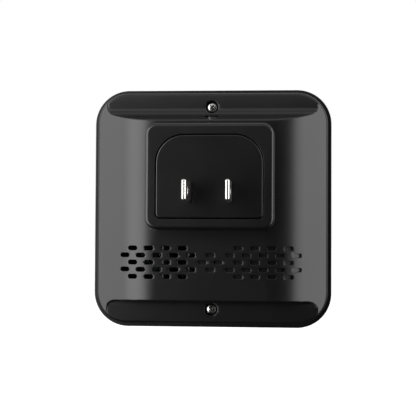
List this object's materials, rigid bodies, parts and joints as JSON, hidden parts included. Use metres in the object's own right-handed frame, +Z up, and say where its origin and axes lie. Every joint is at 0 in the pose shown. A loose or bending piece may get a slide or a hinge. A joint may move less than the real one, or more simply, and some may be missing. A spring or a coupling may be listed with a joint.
{
  "type": "ultrasonic pest repeller",
  "caption": "Square plug-in ultrasonic pest repeller: domed vented rear cover, raised outlet pad with a flat two-blade plug, and a slotted sound grille, status light and push button in front.",
  "frame": {"origin": "on the outlet face, midway between the two plug blades", "axes": "+Y out of the outlet face along the blades, into the wall outlet; +Z up; +X to the right as seen from the front"},
  "size_m": [0.078, 0.0533, 0.078],
  "materials": {
    "shell_black": "satin, fine spark texture",
    "insert_black": "satin",
    "button_black": "satin",
    "nickel_plate": "bright nickel plate on brass",
    "zinc_screw": "bright zinc plate",
    "moulded_ivory": "plain nylon",
    "moulded_black": "plain moulded",
    "board_green": "glass-epoxy laminate under solder mask",
    "ferrite": "sintered ferrite",
    "winding_tape": "copper winding under polyester tape",
    "copper_wire": "enamelled copper",
    "box_grey": "plain moulded box",
    "sleeve_brown": "shrink sleeve on an aluminium can",
    "sleeve_black": "shrink sleeve on an aluminium can",
    "varistor_blue": "epoxy dipped",
    "fuse_tan": "ceramic body, tinned leads",
    "epoxy_black": "moulded epoxy",
    "chip_ceramic": "sintered",
    "led_lens": "clear epoxy",
    "clear_acrylic": "polished",
    "plunger_grey": "plain moulded",
    "cloth_black": "non-woven",
    "foam_black": "closed-cell foam",
    "horn_aluminium": "spun",
    "plate_brass": "rolled",
    "piezo_ceramic": "silvered",
    "insulation_red": "extruded",
    "insulation_black": "extruded",
    "insulation_white": "extruded"
  },
  "bodies": {
    "housing": {"rear_cover": "shell_black", "front_cover": "shell_black", "plug_insert": "insert_black", "line_blade": "nickel_plate", "neutral_blade": "nickel_plate", "blade_clamp_plate": "moulded_ivory", "clamp_screws": "zinc_screw", "case_screws": "zinc_screw", "main_pcb": "board_green", "pcb_screws": "zinc_screw", "transformer_core": "ferrite", "transformer_bobbin": "moulded_black", "transformer_winding": "winding_tape", "safety_capacitor": "box_grey", "bulk_capacitor": "sleeve_brown", "output_capacitor": "sleeve_black", "surge_varistor": "varistor_blue", "mains_fuse": "fuse_tan", "bridge_rectifier": "epoxy_black", "rectifier_diodes": "epoxy_black", "boost_inductor_core": "ferrite", "boost_inductor_winding": "copper_wire", "control_chip": "epoxy_black", "driver_transistors": "epoxy_black", "chip_resistors": "epoxy_black", "chip_capacitors": "chip_ceramic", "status_led": "led_lens", "light_pipe": "clear_acrylic", "tact_switch_body": "moulded_black", "grille_cloth": "cloth_black", "transducer_gasket": "foam_black", "transducer_frame": "moulded_black", "transducer_horn": "horn_aluminium", "transducer_plate": "plate_brass", "piezo_disc": "piezo_ceramic", "transducer_screws": "zinc_screw", "speaker_header": "moulded_ivory", "speaker_plug": "moulded_ivory", "speaker_lead_hot": "insulation_red", "speaker_lead_return": "insulation_black", "line_wire": "insulation_black", "neutral_wire": "insulation_white"},
    "mode_button": {"mode_button": "button_black", "tact_switch_plunger": "plunger_grey"}
  },
  "joints": [
    {"name": "mode_button_press", "type": "slide", "parent": "housing", "child": "mode_button", "axis": [0, 1, 0], "range_m": [0, 0.0005], "stiffness_N_per_m": 2000}
  ]
}
